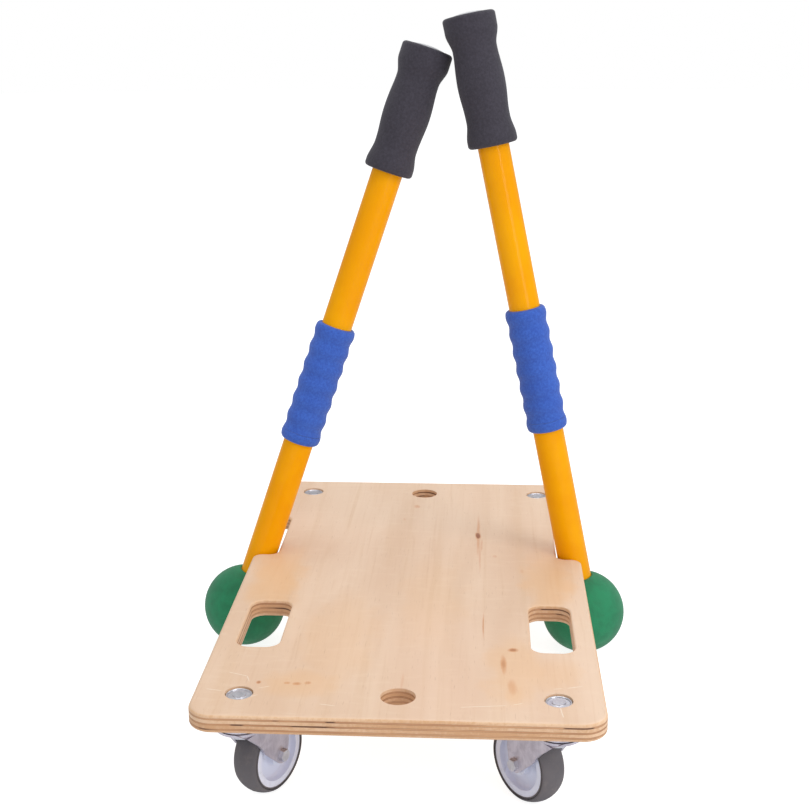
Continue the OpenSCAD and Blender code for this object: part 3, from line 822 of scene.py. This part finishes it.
def tyre_profile(radius, bore, half_width):
    """A tyre's section: rounded crown with a parting line, shoulder, side wall with a bead groove
    and bore, then the same wall and shoulder back up the other side."""
    crown = 22 * MM
    shoulder = 1.2 * MM
    shoulder_w = 0.8 * shoulder
    edge = half_width - 0.02 * MM
    flat = edge - shoulder_w

    def fall(w):
        return crown - math.sqrt(crown * crown - w * w)

    edge_r = radius - fall(edge)
    rows = 40
    profile = []
    for i in range(rows + 1):
        w = -flat + 2 * flat * i / rows
        parting_line = 0.10 * MM * math.exp(-(w / (0.35 * MM)) ** 2)
        profile.append((radius - 0.1 * MM - fall(w) + parting_line, w))
    side = []
    for i in range(1, 6):
        a = math.pi / 2 * i / 5
        ridge = 0.25 * MM * (1 - i / 5)
        side.append((edge_r - shoulder * (1 - math.cos(a)) + ridge, flat + shoulder_w * math.sin(a)))
    groove = edge - 0.5 * MM
    side += [(edge_r - 2.0 * MM, edge), (bore + 2.2 * MM, edge), (bore + 1.7 * MM, groove),
             (bore + 1.1 * MM, groove), (bore + 0.7 * MM, edge), (bore, edge)]
    return profile + side + [(bore, 4 * MM), (bore, -4 * MM)] + [(r, -w) for r, w in reversed(side)]


def tyres():
    for corner in CORNERS:
        node = "tyre_" + corner
        axle = joint("wheel_spin_" + corner)
        place = axis_place(Vector(axle["pos_m"]), Vector(axle["axis"]))
        low, high, bore, radius = reach(node, place)
        profile = tyre_profile(radius, bore, (high - low) / 2)
        mesh = turned_mesh("rubber_tyre_" + corner, profile, place, 160)
        new_piece("rubber_tyre_" + corner, mesh, "tyre_rubber", body_of(node), node)


tyres()


# ---------------------------------------------------------------- floor, light and camera

def white_floor():
    """A pale disc that shows as white to the camera and glows more softly on the piece."""
    f = Finish("pale_floor")
    tone = f.noise(f.place, 0.8, 2.0)
    seen = f.node("ShaderNodeLightPath", out="Is Camera Ray")
    glow = f.mix(seen, (0.44, 0.45, 0.47, 1), (1, 1, 1, 1))
    pale = f.mix(tone, (0.44, 0.45, 0.46, 1), (0.46, 0.47, 0.48, 1))
    f.shade(pale, 0.9, Emission_Color=glow, Emission_Strength=0.85)
    mesh = bpy.data.meshes.new("floor")
    made = bmesh.new()
    bmesh.ops.create_circle(made, cap_ends=True, segments=96, radius=14)
    made.to_mesh(mesh)
    made.free()
    mesh.materials.append(f.material)
    floor = bpy.data.objects.new("floor", mesh)
    bpy.context.scene.collection.objects.link(floor)


def soft_box(name, place, target, size, power):
    lamp = bpy.data.lights.new(name, "AREA")
    lamp.shape = "DISK"
    lamp.size = size
    lamp.energy = power
    lamp_object = bpy.data.objects.new(name, lamp)
    lamp_object.location = place
    towards = Vector(target) - Vector(place)
    lamp_object.rotation_euler = towards.to_track_quat("-Z", "Y").to_euler()
    bpy.context.scene.collection.objects.link(lamp_object)


ROOM_LIGHT = 0.55                # the white room's light on the piece, next to 1 as the camera sees it
MIDDLE = (0, 0, 0.3)
# name, place, target, size across, power
LIGHTS = [
    ("key", (2.3, -1.7, 2.1), MIDDLE, 2.0, 37),
    ("fill", (-1.9, -2.2, 2.2), MIDDLE, 1.6, 7.5),
    ("top", (-0.2, 0.5, 3.2), MIDDLE, 2.2, 27),
    ("back", (0.3, 2.4, 2.7), MIDDLE, 1.4, 10),
    ("low", (1.5, -2.2, 0.45), (0, -0.2, 0.05), 0.9, 8),
]


def studio_light():
    for light in LIGHTS:
        soft_box(*light)
    world = bpy.data.worlds.new("white_room")
    world.use_nodes = True
    world.node_tree.nodes.clear()
    tree = Tree(world.node_tree)
    seen = tree.node("ShaderNodeLightPath", out="Is Camera Ray")
    strength = tree.node("ShaderNodeMapRange", {"Value": seen, "To Min": ROOM_LIGHT, "To Max": 1.0})
    sky = tree.node("ShaderNodeBackground", {"Color": (1, 1, 1, 1), "Strength": strength})
    tree.node("ShaderNodeOutputWorld", {"Surface": sky})
    bpy.context.scene.world = world


# the viewer stands in front of the near end, a little to the right, and looks down at the board
EYE = Vector((0.0668, -1.2929, 0.5443 + DECK_TOP))
YAW, PITCH, ROLL = -3.346, 15.544, -0.194        # degrees
LENS = 60.15                                     # for a 36 mm sensor


def camera():
    yaw, pitch, roll = (math.radians(a) for a in (YAW, PITCH, ROLL))
    forward = Vector((math.sin(yaw) * math.cos(pitch), math.cos(yaw) * math.cos(pitch), -math.sin(pitch)))
    flat_right = Vector((math.cos(yaw), -math.sin(yaw), 0))
    flat_up = flat_right.cross(forward)
    right = math.cos(roll) * flat_right + math.sin(roll) * flat_up
    up = math.cos(roll) * flat_up - math.sin(roll) * flat_right
    data = bpy.data.cameras.new("camera")
    data.lens = LENS
    data.sensor_width = 36
    view = bpy.data.objects.new("camera", data)
    turn = Matrix((right, up, -forward)).transposed()
    view.matrix_world = Matrix.Translation(EYE) @ turn.to_4x4()
    bpy.context.scene.collection.objects.link(view)
    bpy.context.scene.camera = view


white_floor()
studio_light()
camera()
bpy.context.scene.view_settings.view_transform = "Standard"
